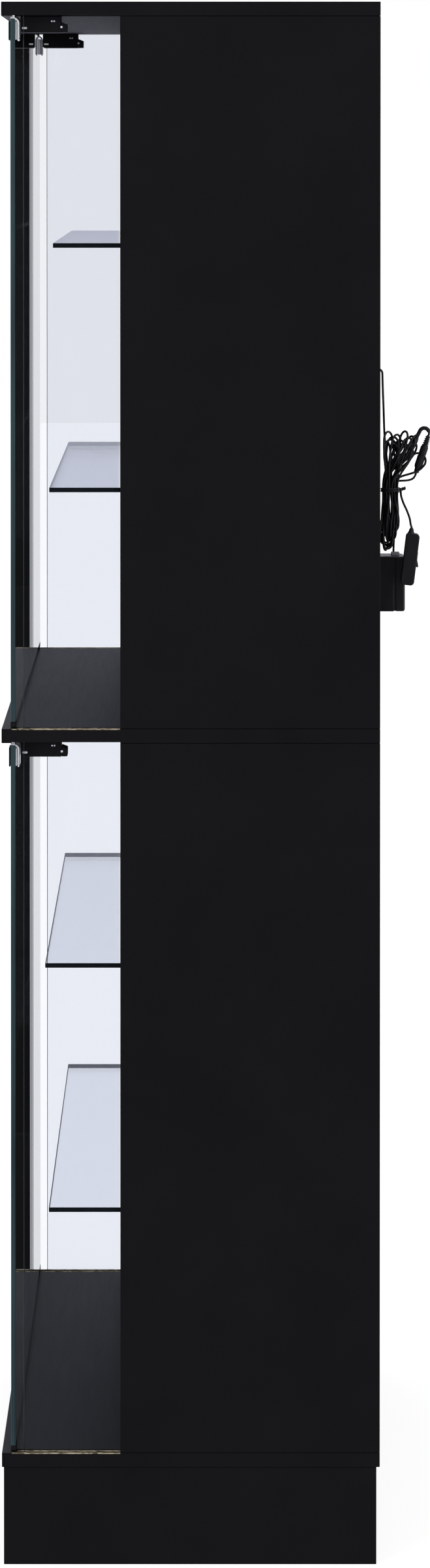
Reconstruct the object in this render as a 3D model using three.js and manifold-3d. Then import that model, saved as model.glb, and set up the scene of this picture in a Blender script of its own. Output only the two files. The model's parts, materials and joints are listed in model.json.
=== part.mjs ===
// China cabinet with two glazed compartments, one above the other, each closed by a pair of
// side-hung glass doors, and a lighting lead that hangs behind it in a tied hank.
// Millimetres. +Z is up, the doors face -Y, and the origin is the middle of the footprint.

import * as THREE from "three";
import { mergeVertices } from "three/addons/utils/BufferGeometryUtils.js";
import Module from "manifold-3d";

const wasm = await Module();
wasm.setup();

// Driving dimensions of the case
const WIDTH = 800;
const DEPTH = 400;
const HEIGHT = 1655;
const BOARD = 15; // thickness of the laminated chipboard
const PLINTH_HEIGHT = 104;
const PLINTH_SET_BACK = { front: 2, rear: 3.5, side: 2 };
const BACK_BOARD = 3;
const BACK_HOUSING = 6; // how far the back board goes into the boards around it
const GAP = 0.3; // left between pieces that touch
const ARRIS = 0.4; // broken edge of boards and glass

// Side windows
const GLASS = 5;
const WINDOW_REAR = 125.5; // from the front edge to where the solid side panel starts
const WINDOW_FRONT = 23.2; // from the front edge to the pane
const PANE_INSET = 3.5; // from the case's side to the pane's outer face
const PANE_GROOVE = 4;
const REBATE = { front: 10.3, width: BOARD, depth: 1 };

// Doors: the hinge line is inside the thickness of the glass
const DOOR_FACE = 9.7; // from the front edge to the outer face of the door glass
const DOOR_SIDE_GAP = 2;
const DOOR_MEETING_GAP = 3;
const DOOR_TOP_GAP = 3;
const DOOR_BOTTOM_GAP = 7.3;
const HINGE_INSET = 10; // from the case's side to the hinge line
const CLAMP = {
  inboard: 20, // from the hinge line towards the middle of the door
  outboard: 6,
  height: 23,
  reach: 7, // from the glass's middle plane to the clamp's rear face
  lip: 1.3, // over the top edge of the glass
  bend: 6.5,
  foot: 1.5, // radius of its lower rear edge
};
const CAP = { height: 20, thickness: 1.7, drop: 2.4 };
const SHOE_HEIGHT = 5.3;
const PIVOT = { diameter: 5, bore: 6, depth: 5.5 };
const HINGE_BODY = {
  inset: 20, // from the case's side
  width: 24,
  front: 19.7, // from the case's front
  length: 49.5,
  height: 17,
  chamfer: 3,
  radius: 1.5,
};

// Shelves, from the lowest: height of the top face, and how far the front edge is from the
// case's front, because loose glass shelves don't all stand at the same place
const SHELF_DEPTH = 340;
const SHELF_SIDE_GAP = 2;
const SHELVES = [
  { top: 376, front: 49.3 },
  { top: 636, front: 45.5 },
  { top: 1141, front: 50 },
  { top: 1400, front: 54 },
];
const REST = {
  thickness: 1.5,
  height: 8,
  arris: 0.3,
  drop: 1.5, // from the studs' level down to the strip's middle
  front: 145, // from the case's front
  length: 215,
  stud: 6,
  reach: 10,
  peg: 4.6,
};
const REST_STUD_INSET = 16; // from the ends of the strip to its studs
const REST_PEG_DEPTH = 8;
const HOLE_SPARE = 0.5; // how much deeper a blind hole is than what goes into it

// Light under the top panel
const LIGHT = { length: 720, width: 12, height: 7, radius: 3, fromBack: 40 };

// Lighting lead at the back
const CORD_X = 280;
const CORD_DIAMETER = 2.4;
const EXIT_HEIGHT = 1262;
const GROMMET = { neck: 10, flange: 16, lip: 1.3, chamfer: 0.6, tip: 1 };
const HANK_THICKNESS = 22;
const TIE = { height: 8, wall: 1.5, level: 1131 };
const ADAPTER = {
  width: 40,
  depth: 30,
  height: 59.4,
  bottom: 1001.2,
  radius: 3,
  bevel: 1,
  behind: 0.7, // from the back board
};
const SWITCH = {
  x: 311,
  y: 235.5,
  z: 1059,
  width: 13,
  depth: 14.5,
  height: 56,
  tilt: 7,
  bevel: 1,
  radius: 3,
};
const ROCKER = {
  half: 8, // half of its length
  width: 8,
  proud: 1.5, // at its ends, over the switch's face
  waist: 0.5, // at its middle
  rim: 0.8, // from the face down to where its ends turn in
  sunk: 3,
  foot: 3, // half of the flat on its underside
  tilt: 8,
  pivot: 1.2,
  play: 0.5, // round it in its window
};
const CONNECTOR = {
  length: 43,
  radius: 4.5,
  chamfer: 1.5,
  socket: 12, // length of the narrower lower half
  relief: 16, // length of the ribbed end
  ribs: 4,
  pitch: 3,
  end: 1.8, // radius at its tip
  top: [259, 1189.5],
  foot: [243.5, 1149.5],
};

const FRONT = -DEPTH / 2;
const BACK = DEPTH / 2;
const FLOOR_TOP = PLINTH_HEIGHT + BOARD;
const TOP_UNDERSIDE = HEIGHT - BOARD;
const COMPARTMENT = (TOP_UNDERSIDE - FLOOR_TOP - BOARD) / 2;
const MID_UNDERSIDE = FLOOR_TOP + COMPARTMENT;
const MID_TOP = MID_UNDERSIDE + BOARD;
const INNER_SIDE = WIDTH / 2 - BOARD;
const HINGE_X = WIDTH / 2 - HINGE_INSET;
const HINGE_Y = FRONT + DOOR_FACE + GLASS / 2;
const COMPARTMENTS = [
  { name: "lower", floor: FLOOR_TOP, ceiling: MID_UNDERSIDE },
  { name: "upper", floor: MID_TOP, ceiling: TOP_UNDERSIDE },
];
const SIDES = [
  { name: "left", sign: -1 },
  { name: "right", sign: 1 },
];

const finish = (color, roughness, metalness = 0, more = {}) =>
  new THREE.MeshStandardMaterial({ color, roughness, metalness, ...more });
const MATERIALS = {
  board: finish(0x171717, 0.55),
  plinth: finish(0x17161a, 0.6),
  back: finish(0x36353e, 0.7),
  glass: finish(0xdfe6e8, 0.05, 0, { transparent: true, opacity: 0.3 }),
  chrome: finish(0xd6d8dc, 0.15, 1),
  black: finish(0x141416, 0.4),
  steel: finish(0xa5a7aa, 0.3, 1),
  light: finish(0xf2efe6, 0.4),
  cord: finish(0x1a1b1e, 0.5),
};

const cabinet = new THREE.Group();

function add(parent, name, geometry, material, [x, y, z] = [0, 0, 0]) {
  const mesh = new THREE.Mesh(geometry, material);
  mesh.name = name;
  mesh.position.set(x, y, z);
  parent.add(mesh);
  return mesh;
}

// A closed geometry as a solid for cutting and joining, and back again
function toSolid(geometry) {
  const bare = geometry.clone();
  bare.deleteAttribute("normal");
  bare.deleteAttribute("uv");
  const merged = mergeVertices(bare, 1e-4);
  const vertProperties = new Float32Array(merged.attributes.position.array);
  const triVerts = new Uint32Array(merged.index.array);
  return new wasm.Manifold(new wasm.Mesh({ numProp: 3, vertProperties, triVerts }));
}

function toGeometry(solid) {
  const mesh = solid.getMesh();
  const geometry = new THREE.BufferGeometry();
  geometry.setAttribute("position", new THREE.BufferAttribute(mesh.vertProperties, 3));
  geometry.setIndex(new THREE.BufferAttribute(mesh.triVerts, 1));
  return geometry;
}

const cut = (geometry, ...tools) =>
  toGeometry(tools.reduce((solid, tool) => solid.subtract(toSolid(tool)), toSolid(geometry)));
const join = (geometry, ...others) =>
  toGeometry(others.reduce((solid, other) => solid.add(toSolid(other)), toSolid(geometry)));

// A sharp block between two corners, given in any order
function block(from, to) {
  const low = from.map((value, i) => Math.min(value, to[i]));
  const size = from.map((value, i) => Math.abs(to[i] - value));
  return new THREE.BoxGeometry(...size).translate(...low.map((value, i) => value + size[i] / 2));
}

// A board or pane between two corners, with every edge broken
function slab(from, to, arris = ARRIS) {
  const low = from.map((value, i) => Math.min(value, to[i]));
  const [w, d, h] = from.map((value, i) => Math.abs(to[i] - value));
  const outline = new THREE.Shape();
  const [x, y] = [w / 2 - arris, d / 2 - arris];
  outline.moveTo(-x + arris, -y);
  outline.lineTo(x - arris, -y);
  outline.lineTo(x, -y + arris);
  outline.lineTo(x, y - arris);
  outline.lineTo(x - arris, y);
  outline.lineTo(-x + arris, y);
  outline.lineTo(-x, y - arris);
  outline.lineTo(-x, -y + arris);
  outline.closePath();
  const bevel = { bevelEnabled: true, bevelSize: arris, bevelThickness: arris, bevelSegments: 1 };
  const geometry = new THREE.ExtrudeGeometry(outline, { depth: h - 2 * arris, ...bevel });
  return geometry.translate(low[0] + w / 2, low[1] + d / 2, low[2] + arris);
}

// An outline in the YZ plane, extruded along X between two places
function alongX(outline, x0, x1, bevel = 0, curveSegments = 8) {
  const low = Math.min(x0, x1);
  const span = Math.abs(x1 - x0);
  const edges = { bevelEnabled: bevel > 0, bevelSize: bevel, bevelThickness: bevel };
  const settings = { depth: span - 2 * bevel, ...edges, bevelSegments: 2, curveSegments };
  const geometry = new THREE.ExtrudeGeometry(outline, settings);
  const turn = new THREE.Matrix4().makeBasis(
    new THREE.Vector3(0, 1, 0),
    new THREE.Vector3(0, 0, 1),
    new THREE.Vector3(1, 0, 0),
  );
  return geometry.applyMatrix4(turn).translate(low + bevel, 0, 0);
}

function rounded(width, height, radius) {
  const [x, y] = [width / 2, height / 2];
  const shape = new THREE.Shape();
  shape.moveTo(-x + radius, -y);
  shape.lineTo(x - radius, -y);
  shape.absarc(x - radius, -y + radius, radius, -Math.PI / 2, 0);
  shape.lineTo(x, y - radius);
  shape.absarc(x - radius, y - radius, radius, 0, Math.PI / 2);
  shape.lineTo(-x + radius, y);
  shape.absarc(-x + radius, y - radius, radius, Math.PI / 2, Math.PI);
  shape.lineTo(-x, -y + radius);
  shape.absarc(-x + radius, -y + radius, radius, Math.PI, 1.5 * Math.PI);
  return shape;
}

// Round bars; the end points are given along one axis
const barZ = (diameter, x, y, z0, z1, sides = 16) =>
  new THREE.CylinderGeometry(diameter / 2, diameter / 2, Math.abs(z1 - z0), sides)
    .rotateX(Math.PI / 2)
    .translate(x, y, (z0 + z1) / 2);
const barX = (diameter, x0, x1, y, z, sides = 16) =>
  new THREE.CylinderGeometry(diameter / 2, diameter / 2, Math.abs(x1 - x0), sides)
    .rotateZ(Math.PI / 2)
    .translate((x0 + x1) / 2, y, z);
const barY = (diameter, x, y0, y1, z, sides = 16) =>
  new THREE.CylinderGeometry(diameter / 2, diameter / 2, Math.abs(y1 - y0), sides)
    .translate(x, (y0 + y1) / 2, z);

// Housing for one back board in the boards around it
function backHousing({ floor, ceiling }) {
  const x = INNER_SIDE + BACK_HOUSING + GAP;
  const y = BACK - GAP - BACK_BOARD - GAP;
  return block([-x, y, floor - BACK_HOUSING - GAP], [x, BACK + 1, ceiling + BACK_HOUSING + GAP]);
}

// Shallow rebate and groove for the panes, in the face of a board at height z.
// The board's material is on the side of z that direction points to
function windowHousings(z, direction) {
  return SIDES.flatMap(({ sign }) => {
    const rear = FRONT + WINDOW_REAR;
    const outer = WIDTH / 2 + 1;
    const rebateEnd = z + direction * REBATE.depth;
    const pane = WIDTH / 2 - PANE_INSET;
    const grooveEnd = z + direction * (PANE_GROOVE + GAP);
    return [
      block(
        [sign * outer, FRONT + REBATE.front, z - direction],
        [sign * (WIDTH / 2 - REBATE.width), rear, rebateEnd],
      ),
      block(
        [sign * (pane + GAP), FRONT + WINDOW_FRONT - GAP, z - direction],
        [sign * (pane - GLASS - GAP), rear + PANE_GROOVE + GAP, grooveEnd],
      ),
    ];
  });
}

function pivotBores(z, direction) {
  const end = z + direction * (PIVOT.depth + HOLE_SPARE);
  return SIDES.map(({ sign }) => barZ(PIVOT.bore, sign * HINGE_X, HINGE_Y, z - direction, end));
}

// Case: three horizontal boards over a plinth of four
const [LOWER, UPPER] = COMPARTMENTS;
const fullBoard = (z0, z1) => slab([-WIDTH / 2, FRONT, z0], [WIDTH / 2, BACK, z1]);

add(
  cabinet,
  "top_panel",
  cut(
    fullBoard(TOP_UNDERSIDE, HEIGHT),
    backHousing(UPPER),
    ...windowHousings(TOP_UNDERSIDE, 1),
    ...pivotBores(TOP_UNDERSIDE, 1),
  ),
  MATERIALS.board,
);
add(
  cabinet,
  "mid_panel",
  cut(
    fullBoard(MID_UNDERSIDE, MID_TOP),
    backHousing(UPPER),
    backHousing(LOWER),
    ...windowHousings(MID_TOP, -1),
    ...windowHousings(MID_UNDERSIDE, 1),
    ...pivotBores(MID_TOP, -1),
    ...pivotBores(MID_UNDERSIDE, 1),
  ),
  MATERIALS.board,
);
add(
  cabinet,
  "bottom_panel",
  cut(
    fullBoard(PLINTH_HEIGHT, FLOOR_TOP),
    backHousing(LOWER),
    ...windowHousings(FLOOR_TOP, -1),
    ...pivotBores(FLOOR_TOP, -1),
  ),
  MATERIALS.board,
);

const plinthFront = FRONT + PLINTH_SET_BACK.front;
const plinthRear = BACK - PLINTH_SET_BACK.rear;
const plinthSide = WIDTH / 2 - PLINTH_SET_BACK.side;
const plinthTop = PLINTH_HEIGHT - GAP;
for (const { name, sign } of SIDES) {
  const from = [sign * plinthSide, plinthFront, 0];
  const to = [sign * (plinthSide - BOARD), plinthRear, plinthTop];
  add(cabinet, `plinth_side_${name}`, slab(from, to), MATERIALS.plinth);
}
for (const [name, y] of [["front", plinthFront], ["rear", plinthRear - BOARD]]) {
  const x = plinthSide - BOARD - GAP;
  add(cabinet, `plinth_${name}`, slab([-x, y, 0], [x, y + BOARD, plinthTop]), MATERIALS.plinth);
}

// Shelf rests: a steel strip with two pegs in the side panel and two studs under the glass
const restFront = FRONT + REST.front;
const studPlaces = [restFront + REST_STUD_INSET, restFront + REST.length - REST_STUD_INSET];
const studHeight = (shelf) => shelf.top - GLASS - GAP - REST.stud / 2;

for (const { name, floor, ceiling } of COMPARTMENTS) {
  const held = SHELVES.filter((shelf) => shelf.top > floor && shelf.top < ceiling);

  for (const side of SIDES) {
    const outer = side.sign * (WIDTH / 2);
    const inner = side.sign * INNER_SIDE;
    const pane = side.sign * (WIDTH / 2 - PANE_INSET);
    const paneInner = side.sign * (WIDTH / 2 - PANE_INSET - GLASS);
    const windowRear = FRONT + WINDOW_REAR;

    // Solid rear part of the side, grooved at its front for the pane
    const paneGroove = block(
      [pane + side.sign * GAP, windowRear - 1, floor - 1],
      [paneInner - side.sign * GAP, windowRear + PANE_GROOVE + GAP, ceiling + 1],
    );
    const holeEnd = inner + side.sign * (REST_PEG_DEPTH + HOLE_SPARE);
    const pegHoles = held.flatMap((shelf) =>
      studPlaces.map((y) =>
        barX(REST.peg + 2 * GAP, inner - side.sign, holeEnd, y, studHeight(shelf)),
      ),
    );
    add(
      cabinet,
      `side_panel_${name}_${side.name}`,
      cut(
        slab([outer, windowRear, floor + GAP], [inner, BACK, ceiling - GAP]),
        backHousing({ floor, ceiling }),
        paneGroove,
        ...pegHoles,
      ),
      MATERIALS.board,
    );
    add(
      cabinet,
      `side_glass_${name}_${side.name}`,
      slab(
        [pane, FRONT + WINDOW_FRONT, floor - PANE_GROOVE],
        [paneInner, windowRear + PANE_GROOVE, ceiling + PANE_GROOVE],
      ),
      MATERIALS.glass,
    );
  }

  // Back board, with a hole for the lead in the upper one
  const backX = INNER_SIDE + BACK_HOUSING;
  const backY = BACK - GAP;
  const backBoard = slab(
    [-backX, backY - BACK_BOARD, floor - BACK_HOUSING],
    [backX, backY, ceiling + BACK_HOUSING],
  );
  const leadHole = barY(GROMMET.neck + 2 * GAP, CORD_X, BACK - 10, BACK + 10, EXIT_HEIGHT, 24);
  add(
    cabinet,
    `back_panel_${name}`,
    name === "upper" ? cut(backBoard, leadHole) : backBoard,
    MATERIALS.back,
  );
}

SHELVES.forEach((shelf, i) => {
  const x = INNER_SIDE - SHELF_SIDE_GAP;
  const y = FRONT + shelf.front;
  const glass = slab([-x, y, shelf.top - GLASS], [x, y + SHELF_DEPTH, shelf.top]);
  add(cabinet, `glass_shelf_${i + 1}`, glass, MATERIALS.glass);

  for (const side of SIDES) {
    const wall = side.sign * (INNER_SIDE - GAP);
    const stripFace = wall - side.sign * REST.thickness;
    const z = studHeight(shelf);
    const stripMiddle = z - REST.drop;
    const strip = slab(
      [wall, restFront, stripMiddle - REST.height / 2],
      [stripFace, restFront + REST.length, stripMiddle + REST.height / 2],
      REST.arris,
    );
    const overlap = side.sign * REST.thickness / 3;
    const bars = studPlaces.flatMap((y) => [
      barX(REST.stud, stripFace + overlap, stripFace - side.sign * REST.reach, y, z),
      barX(REST.peg, wall - overlap, wall + side.sign * REST_PEG_DEPTH, y, z),
    ]);
    add(cabinet, `shelf_rest_${i + 1}_${side.name}`, join(strip, ...bars), MATERIALS.steel);
  }
});

// Doors: a pane held by a chrome clamp with a black cap at its top outer corner and by a
// pivot shoe under its bottom corner, turning on two pins in the boards
function clampOutline(glassTop) {
  const face = GLASS / 2 + GAP;
  const under = glassTop + GAP;
  const top = under + CLAMP.lip;
  const bottom = glassTop - CLAMP.height;
  const footPlace = CLAMP.reach - CLAMP.foot;
  const outline = new THREE.Shape();
  outline.moveTo(-GLASS / 2, under);
  outline.lineTo(face, under);
  outline.lineTo(face, bottom);
  outline.lineTo(footPlace, bottom);
  outline.absarc(footPlace, bottom + CLAMP.foot, CLAMP.foot, -Math.PI / 2, 0);
  outline.lineTo(CLAMP.reach, top - CLAMP.bend);
  outline.absarc(CLAMP.reach - CLAMP.bend, top - CLAMP.bend, CLAMP.bend, 0, Math.PI / 2);
  outline.lineTo(-GLASS / 2, top);
  outline.closePath();
  return outline;
}

function hingeBodyOutline(ceiling) {
  const front = FRONT + HINGE_BODY.front;
  const rear = front + HINGE_BODY.length;
  const top = ceiling - GAP;
  const bottom = ceiling - HINGE_BODY.height;
  const { chamfer, radius } = HINGE_BODY;
  const outline = new THREE.Shape();
  outline.moveTo(front + radius, bottom);
  outline.lineTo(rear - chamfer, bottom);
  outline.lineTo(rear, bottom + chamfer);
  outline.lineTo(rear, top - chamfer);
  outline.lineTo(rear - chamfer, top);
  outline.lineTo(front, top);
  outline.lineTo(front, bottom + radius);
  outline.absarc(front + radius, bottom + radius, radius, Math.PI, 1.5 * Math.PI);
  return outline;
}

for (const { name, floor, ceiling } of COMPARTMENTS) {
  for (const side of SIDES) {
    const label = `${name}_${side.name}`;
    const door = new THREE.Group();
    door.position.set(side.sign * HINGE_X, HINGE_Y, 0);
    cabinet.add(door);

    const glassTop = ceiling - DOOR_TOP_GAP;
    const glassBottom = floor + DOOR_BOTTOM_GAP;
    const outerEdge = side.sign * (HINGE_INSET - DOOR_SIDE_GAP);
    const meetingEdge = side.sign * (DOOR_MEETING_GAP / 2 - HINGE_X);
    const clampOuter = side.sign * CLAMP.outboard;
    const clampInner = -side.sign * CLAMP.inboard;
    const pin = PIVOT.diameter;

    const pane = slab(
      [outerEdge, -GLASS / 2, glassBottom],
      [meetingEdge, GLASS / 2, glassTop],
    );
    add(door, `door_glass_${label}`, pane, MATERIALS.glass);

    const lipTop = glassTop + GAP + CLAMP.lip;
    const clamp = join(
      alongX(clampOutline(glassTop), clampInner, clampOuter),
      barZ(pin, 0, 0, lipTop - 0.5, ceiling + PIVOT.depth),
    );
    add(door, `hinge_clamp_${label}`, clamp, MATERIALS.chrome);

    const capFace = -GLASS / 2 - GAP;
    const cap = slab(
      [clampInner, capFace - CAP.thickness, glassTop - CAP.drop - CAP.height],
      [clampOuter, capFace, glassTop - CAP.drop],
    );
    add(door, `hinge_cap_${label}`, cap, MATERIALS.black);

    const shoeTop = glassBottom - GAP;
    const shoeBottom = shoeTop - SHOE_HEIGHT;
    const shoe = join(
      slab([clampInner, -GLASS / 2 - GAP, shoeBottom], [clampOuter, GLASS / 2 + GAP, shoeTop]),
      barZ(pin, 0, 0, shoeBottom + 0.5, floor - PIVOT.depth),
    );
    add(door, `pivot_shoe_${label}`, shoe, MATERIALS.black);

    const bodyOuter = side.sign * (WIDTH / 2 - HINGE_BODY.inset);
    const bodyInner = bodyOuter - side.sign * HINGE_BODY.width;
    const body = alongX(hingeBodyOutline(ceiling), bodyInner, bodyOuter);
    add(cabinet, `hinge_body_${label}`, body, MATERIALS.black);
  }
}

// Light bar under the top panel, near the back
const lightOutline = new THREE.Shape();
const lightHalf = LIGHT.width / 2;
const lightFlat = lightHalf - LIGHT.radius;
const lightTurn = LIGHT.radius - LIGHT.height;
lightOutline.moveTo(-lightHalf, 0);
lightOutline.lineTo(-lightHalf, lightTurn);
lightOutline.absarc(-lightFlat, lightTurn, LIGHT.radius, Math.PI, 1.5 * Math.PI);
lightOutline.lineTo(lightFlat, -LIGHT.height);
lightOutline.absarc(lightFlat, lightTurn, LIGHT.radius, 1.5 * Math.PI, 2 * Math.PI);
lightOutline.lineTo(lightHalf, 0);
lightOutline.closePath();
add(
  cabinet,
  "light_bar",
  alongX(lightOutline, -LIGHT.length / 2, LIGHT.length / 2),
  MATERIALS.light,
  [0, BACK - LIGHT.fromBack, TOP_UNDERSIDE - GAP],
);

// Grommet in the upper back board, turned about the lead's line and pointing to +Y
const grommetProfile = [
  [0, -BACK_BOARD - GROMMET.tip],
  [GROMMET.neck / 2 - GROMMET.tip, -BACK_BOARD - GROMMET.tip],
  [GROMMET.neck / 2, -BACK_BOARD],
  [GROMMET.neck / 2, GAP],
  [GROMMET.flange / 2, GAP],
  [GROMMET.flange / 2 - GROMMET.chamfer, GAP + GROMMET.lip],
  [CORD_DIAMETER, GAP + GROMMET.lip],
  [0, GAP + GROMMET.lip],
].map(([r, y]) => new THREE.Vector2(r, y));
add(
  cabinet,
  "cord_grommet",
  new THREE.LatheGeometry(grommetProfile, 24),
  MATERIALS.black,
  [CORD_X, BACK - GAP, EXIT_HEIGHT],
);

// Lead from the grommet to the hank: straight out, over a short bend, and down
function tube(points, diameter, steps, sides = 8) {
  const curve = new THREE.CatmullRomCurve3(points.map((p) => new THREE.Vector3(...p)));
  const section = new THREE.Shape();
  for (let i = 0; i < sides; i++) {
    const angle = (2 * Math.PI * i) / sides;
    const place = [Math.cos(angle) * diameter / 2, Math.sin(angle) * diameter / 2];
    i ? section.lineTo(...place) : section.moveTo(...place);
  }
  section.closePath();
  return new THREE.ExtrudeGeometry(section, { steps, extrudePath: curve, bevelEnabled: false });
}

const HANK = { top: 1198, bottom: 1064, near: BACK + 2.5 };
const leadStart = BACK + GROMMET.lip + GAP;
add(
  cabinet,
  "cord_lead",
  tube(
    [
      [CORD_X, leadStart, EXIT_HEIGHT],
      [CORD_X, leadStart + 1.9, EXIT_HEIGHT - 0.3],
      [CORD_X, leadStart + 3.9, EXIT_HEIGHT - 1.6],
      [CORD_X, leadStart + 5.2, EXIT_HEIGHT - 3.6],
      [CORD_X, leadStart + 5.5, EXIT_HEIGHT - 6.5],
      [CORD_X, leadStart + 5.8, EXIT_HEIGHT - 18],
      [CORD_X, leadStart + 6.6, EXIT_HEIGHT - 40],
      [CORD_X, leadStart + 7.4, HANK.top + GAP],
    ],
    CORD_DIAMETER,
    18,
  ),
  MATERIALS.cord,
);

// Hank: a tied bundle, fanned out above the tie and narrow below it
const waist = { near: BACK + 6, far: BACK + 25 };
const hankOutline = new THREE.Shape();
const below = TIE.level - TIE.height / 2 - 2;
const above = TIE.level + TIE.height / 2 + 2;
hankOutline.moveTo(waist.near, below);
hankOutline.lineTo(waist.near, above);
hankOutline.quadraticCurveTo(HANK.near, above + 10, HANK.near, above + 28);
hankOutline.quadraticCurveTo(HANK.near, HANK.top, HANK.near + 12, HANK.top);
hankOutline.lineTo(HANK.near + 36, HANK.top);
hankOutline.quadraticCurveTo(HANK.near + 44, HANK.top, HANK.near + 44, HANK.top - 12);
hankOutline.quadraticCurveTo(HANK.near + 40, above + 12, waist.far, above);
hankOutline.lineTo(waist.far, below);
hankOutline.quadraticCurveTo(waist.far + 1, below - 20, waist.far - 1, HANK.bottom + 14);
hankOutline.quadraticCurveTo(waist.far - 3, HANK.bottom, waist.far - 10, HANK.bottom);
hankOutline.lineTo(HANK.near + 4, HANK.bottom);
hankOutline.quadraticCurveTo(HANK.near, HANK.bottom, HANK.near, HANK.bottom + 8);
hankOutline.quadraticCurveTo(HANK.near, below - 20, waist.near, below);
add(
  cabinet,
  "cord_hank",
  alongX(hankOutline, CORD_X - HANK_THICKNESS / 2, CORD_X + HANK_THICKNESS / 2, 0, 5),
  MATERIALS.cord,
);

const [tieDepth, tieWidth] = [waist.far - waist.near + 2 * GAP, HANK_THICKNESS + 2 * GAP];
const tieOutline = rounded(tieWidth + 2 * TIE.wall, tieDepth + 2 * TIE.wall, TIE.wall);
tieOutline.holes.push(rounded(tieWidth, tieDepth, 0.2));
add(
  cabinet,
  "cord_tie",
  new THREE.ExtrudeGeometry(tieOutline, {
    depth: TIE.height,
    bevelEnabled: false,
    curveSegments: 3,
  }),
  MATERIALS.cord,
  [CORD_X, (waist.near + waist.far) / 2, TIE.level - TIE.height / 2],
);

// Mains adapter, hanging against the back board under the hank
const adapterOutline = rounded(
  ADAPTER.width - 2 * ADAPTER.bevel,
  ADAPTER.depth - 2 * ADAPTER.bevel,
  ADAPTER.radius - ADAPTER.bevel,
);
add(
  cabinet,
  "adapter",
  new THREE.ExtrudeGeometry(adapterOutline, {
    depth: ADAPTER.height - 2 * ADAPTER.bevel,
    bevelEnabled: true,
    bevelSize: ADAPTER.bevel,
    bevelThickness: ADAPTER.bevel,
    bevelSegments: 2,
    curveSegments: 4,
  }),
  MATERIALS.cord,
  [CORD_X, BACK + ADAPTER.behind + ADAPTER.depth / 2, ADAPTER.bottom + ADAPTER.bevel],
);

// Inline switch on its own short lead, leaning out at the top, with a rocker on its outer face
const tilt = THREE.MathUtils.degToRad(SWITCH.tilt);
const switchGroup = new THREE.Group();
switchGroup.position.set(SWITCH.x, SWITCH.y, SWITCH.z);
switchGroup.rotation.x = -tilt;
cabinet.add(switchGroup);

const half = SWITCH.width / 2;
const face = SWITCH.depth / 2;
const rockerHalfWidth = ROCKER.width / 2;
const windowHalf = ROCKER.half + ROCKER.play + GAP;
const windowSide = rockerHalfWidth + ROCKER.play;
const windowFloor = face - ROCKER.sunk - 3 * ROCKER.play;
const housingOutline = rounded(
  SWITCH.depth - 2 * SWITCH.bevel,
  SWITCH.height - 2 * SWITCH.bevel,
  SWITCH.radius,
);
const housing = cut(
  alongX(housingOutline, -half, half, SWITCH.bevel, 5),
  block([-windowSide, windowFloor, -windowHalf], [windowSide, face + 1, windowHalf]),
);
add(switchGroup, "switch_body", housing, MATERIALS.cord);

const rockerOutline = new THREE.Shape();
rockerOutline.moveTo(ROCKER.proud, ROCKER.half);
rockerOutline.lineTo(ROCKER.waist, 0);
rockerOutline.lineTo(ROCKER.proud, -ROCKER.half);
rockerOutline.lineTo(-ROCKER.rim, -ROCKER.half + GAP);
rockerOutline.lineTo(-ROCKER.sunk + 2 * GAP, -ROCKER.foot);
rockerOutline.lineTo(-ROCKER.sunk + 2 * GAP, ROCKER.foot);
rockerOutline.lineTo(-ROCKER.rim, ROCKER.half - GAP);
rockerOutline.closePath();
const rocker = alongX(rockerOutline, -rockerHalfWidth, rockerHalfWidth)
  .translate(0, ROCKER.pivot, 0)
  .rotateX(THREE.MathUtils.degToRad(ROCKER.tilt))
  .translate(0, -ROCKER.pivot, 0);
add(switchGroup, "switch_rocker", rocker, MATERIALS.black, [0, face, 0]);

// Lead from the tie to the switch
const along = (distance) => [
  SWITCH.x,
  SWITCH.y + Math.sin(tilt) * distance,
  SWITCH.z + Math.cos(tilt) * distance,
];
const switchTop = SWITCH.height / 2 + GAP;
add(
  cabinet,
  "switch_lead",
  tube(
    [
      [CORD_X + HANK_THICKNESS / 2 + TIE.wall + 3.5, waist.far - 3, TIE.level + 6],
      [CORD_X + HANK_THICKNESS / 2 + TIE.wall + 4, waist.far - 1, TIE.level - 4],
      [CORD_X + HANK_THICKNESS / 2 + 9, waist.far + 5, TIE.level - 18],
      along(switchTop + 14),
      along(switchTop + 6),
      along(switchTop),
    ],
    CORD_DIAMETER,
    12,
  ),
  MATERIALS.cord,
);

// Connector pair at the outer side of the hank, with a ribbed strain relief at its top
const socketRadius = CONNECTOR.radius - 0.5;
const reliefStart = CONNECTOR.length - CONNECTOR.relief;
const ribProfile = Array.from({ length: CONNECTOR.ribs }, (_, i) => {
  const rib = reliefStart + 2 + CONNECTOR.pitch * i;
  const groove = CONNECTOR.radius - 1.6 - 0.3 * i;
  return [
    [CONNECTOR.radius - 0.4 * (i + 1), rib],
    [groove, rib + 0.8],
    [groove, rib + 2.2],
  ];
}).flat();
const connectorProfile = [
  [0, 0],
  [socketRadius - CONNECTOR.chamfer, 0],
  [socketRadius, CONNECTOR.chamfer],
  [socketRadius, CONNECTOR.socket],
  [CONNECTOR.radius, CONNECTOR.socket + 1],
  [CONNECTOR.radius, reliefStart],
  ...ribProfile,
  [CONNECTOR.end, CONNECTOR.length],
  [0, CONNECTOR.length],
].map(([r, y]) => new THREE.Vector2(r, y));
const [topY, topZ] = CONNECTOR.top;
const [footY, footZ] = CONNECTOR.foot;
const lean = Math.atan2(topY - footY, topZ - footZ);
const connector = new THREE.LatheGeometry(connectorProfile, 16)
  .rotateX(Math.PI / 2)
  .rotateX(-lean);
add(cabinet, "cord_connector", connector, MATERIALS.cord, [CORD_X, footY, footZ]);

export default cabinet;
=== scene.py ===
"""The looks of a black china cabinet with glass doors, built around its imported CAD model."""

import json
import math

import bmesh
import bpy
from mathutils import Matrix, Vector, noise


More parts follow.
